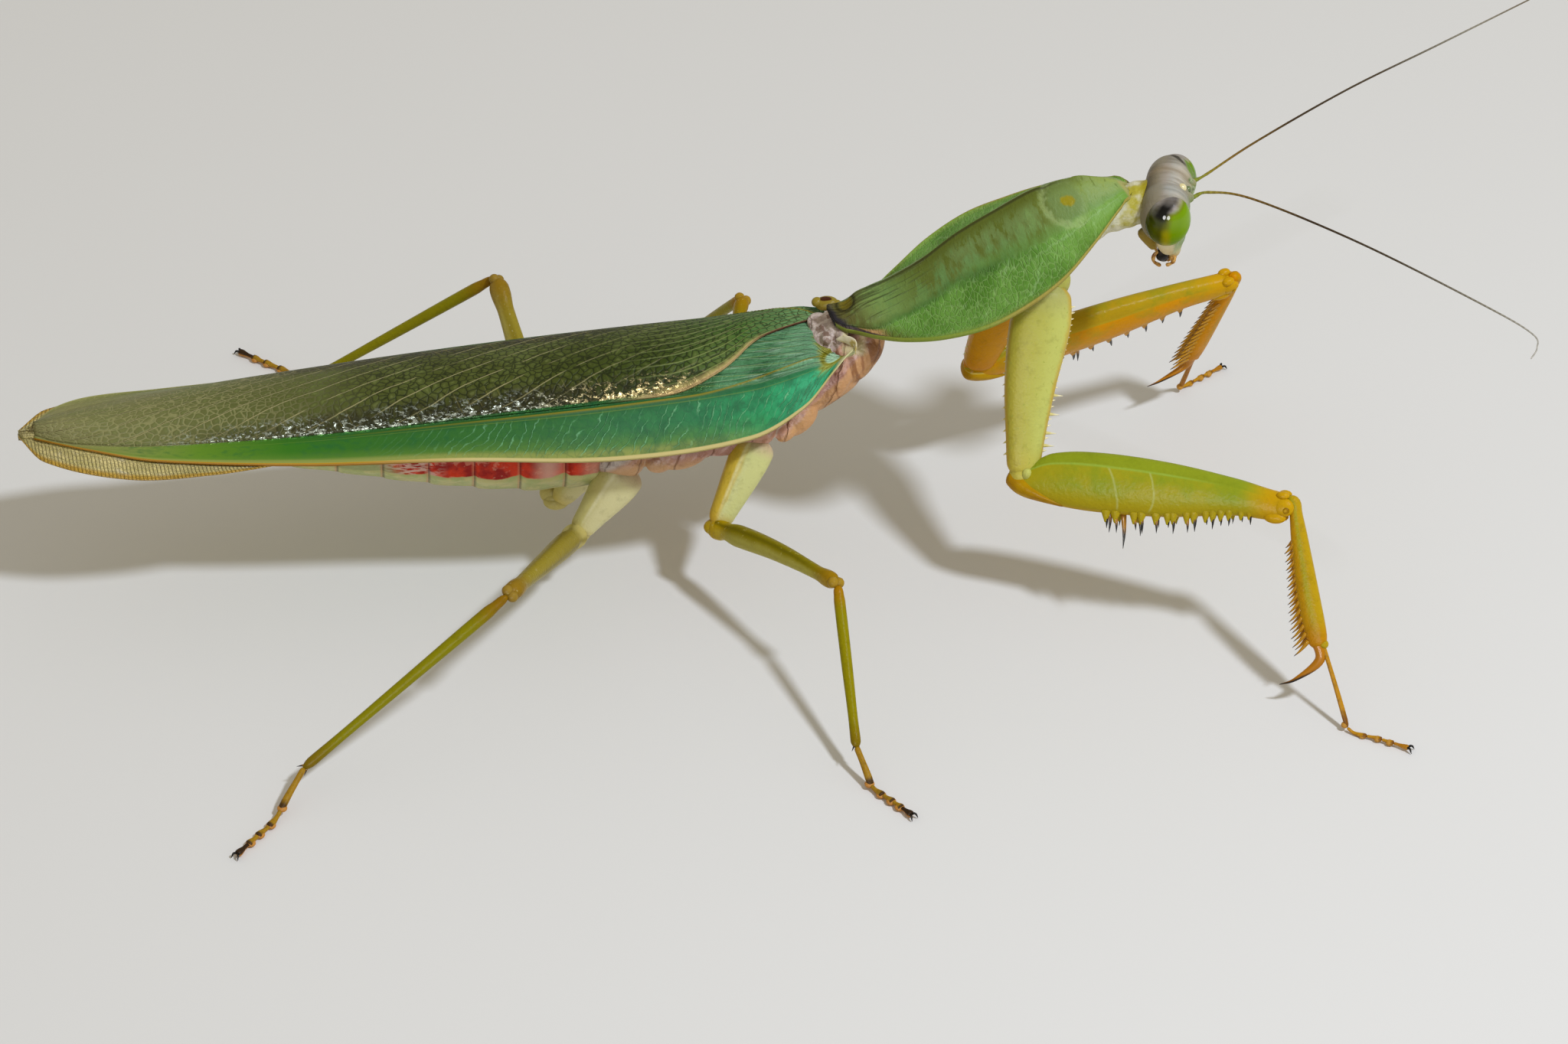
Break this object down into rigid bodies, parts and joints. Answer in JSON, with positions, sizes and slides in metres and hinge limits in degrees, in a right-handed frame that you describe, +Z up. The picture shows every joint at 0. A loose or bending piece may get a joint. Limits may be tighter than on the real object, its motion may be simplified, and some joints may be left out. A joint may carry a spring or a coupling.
{
  "type": "praying mantis",
  "caption": "Life-size standing shield mantis with a broad green shield, folded wings over a slender abdomen, spread spined forelegs and long curved feelers.",
  "frame": {"origin": "on the floor, under the middle of the whole animal seen from above", "axes": "+X towards the head, +Y to the animal's left, +Z up"},
  "size_m": [0.1196, 0.0642, 0.0326],
  "materials": {
    "shield": "satin leaf-green cuticle with fine raised veins",
    "wing": "dark olive veined wing cover with a glossy fold and an emerald leading field",
    "hindwing": "pale beige-green pleated membrane",
    "leg": "olive-yellow satin cuticle",
    "foreleg": "yellow-green to golden satin cuticle with dark-tipped spines",
    "flesh": "pinkish soft membrane with pale plates",
    "abdomen": "glossy red segments over pale green ones",
    "head": "grey-green to cream satin cuticle",
    "eye": "glossy green eye with a grey crown and dark spot",
    "mouth": "tan and black mouthparts",
    "antenna": "brown fading to grey"
  },
  "bodies": {
    "root": {"pronotum": "shield", "forewing_left": "wing", "forewing_right": "wing", "hindwing_left": "hindwing", "hindwing_right": "hindwing", "prothorax": "flesh", "thorax": "flesh", "abdomen": "abdomen", "cercus_left": "leg", "cercus_right": "leg", "neck": "flesh", "head": "head", "eye_left": "eye", "eye_right": "eye", "mouthparts": "mouth", "antenna_left": "antenna", "antenna_right": "antenna", "foreleg_left_coxa": "foreleg", "foreleg_left_femur": "foreleg", "foreleg_left_tibia": "foreleg", "foreleg_left_tarsus": "foreleg", "midleg_left_coxa": "leg", "midleg_left_femur": "leg", "midleg_left_tibia": "leg", "midleg_left_tarsus": "leg", "hindleg_left_coxa": "leg", "hindleg_left_femur": "leg", "hindleg_left_tibia": "leg", "hindleg_left_tarsus": "leg", "foreleg_right_coxa": "foreleg", "foreleg_right_femur": "foreleg", "foreleg_right_tibia": "foreleg", "foreleg_right_tarsus": "foreleg", "midleg_right_coxa": "leg", "midleg_right_femur": "leg", "midleg_right_tibia": "leg", "midleg_right_tarsus": "leg", "hindleg_right_coxa": "leg", "hindleg_right_femur": "leg", "hindleg_right_tibia": "leg", "hindleg_right_tarsus": "leg"}
  },
  "joints": []
}
